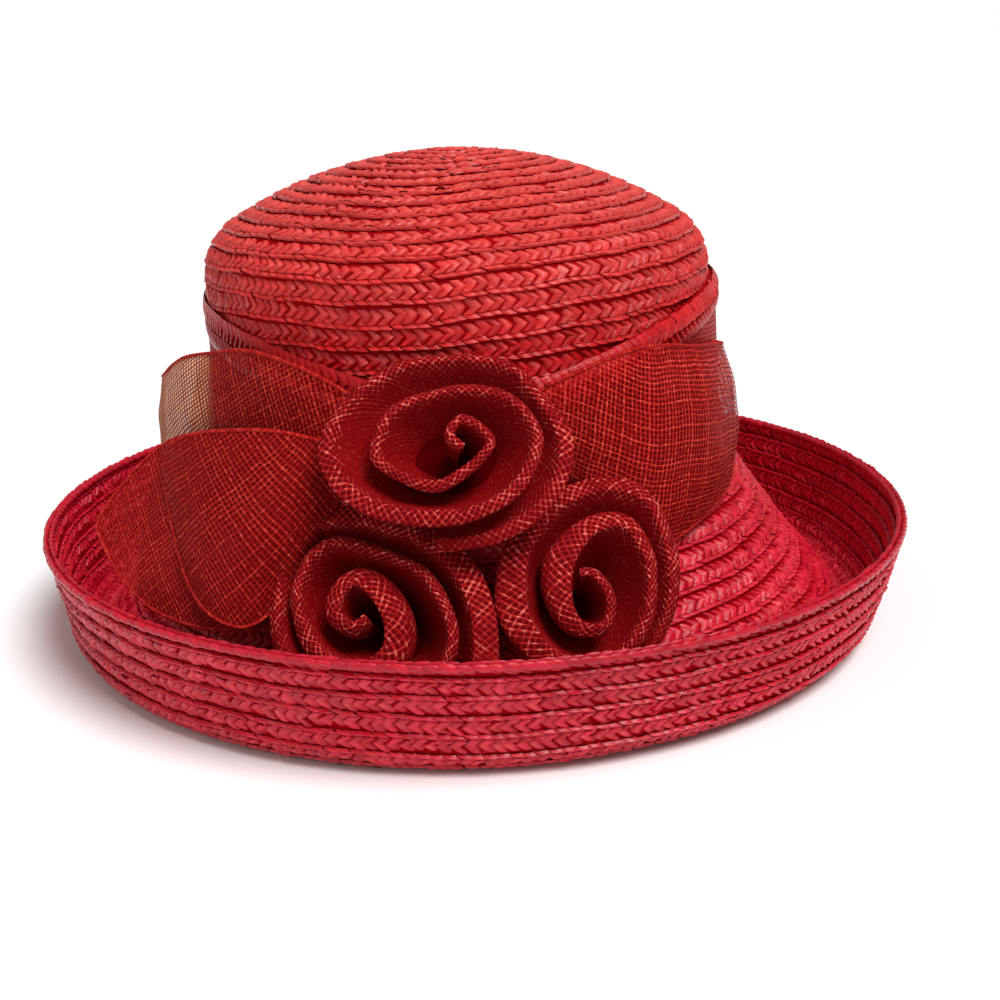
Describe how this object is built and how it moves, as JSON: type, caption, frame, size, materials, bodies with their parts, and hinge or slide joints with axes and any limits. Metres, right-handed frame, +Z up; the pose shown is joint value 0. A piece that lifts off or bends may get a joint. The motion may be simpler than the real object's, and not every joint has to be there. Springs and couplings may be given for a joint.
{
  "type": "church hat",
  "caption": "Domed hat of red sewn straw braid with a bell brim turned up at the edge, and a spray of sinamay leaves and rolled roses at the front.",
  "frame": {"origin": "on the ground under the middle of the rim", "axes": "+Z up through the crown, the spray of roses faces -Y, +X is to the right of someone looking at the spray"},
  "size_m": [0.3194, 0.334, 0.1688],
  "materials": {
    "straw_braid": "satin sewn straw braid, coral red where the light falls on it",
    "brim_braid": "satin sewn straw braid, a little bluer and darker in the trough",
    "sinamay": "stiff open weave of thin satin threads",
    "rose_sinamay": "doubled open weave, dark in the folds, with light on single threads"
  },
  "bodies": {
    "root": {"crown_tip": "straw_braid", "crown_side": "straw_braid", "brim_bell": "brim_braid", "brim_edge": "brim_braid", "crown_band": "sinamay", "band_braid": "straw_braid", "leaf_right": "sinamay", "leaf_left_upper": "sinamay", "leaf_left_lower": "sinamay", "leaf_left_front": "sinamay", "rose_top": "rose_sinamay", "rose_lower_left": "rose_sinamay", "rose_lower_right": "rose_sinamay"}
  },
  "joints": []
}
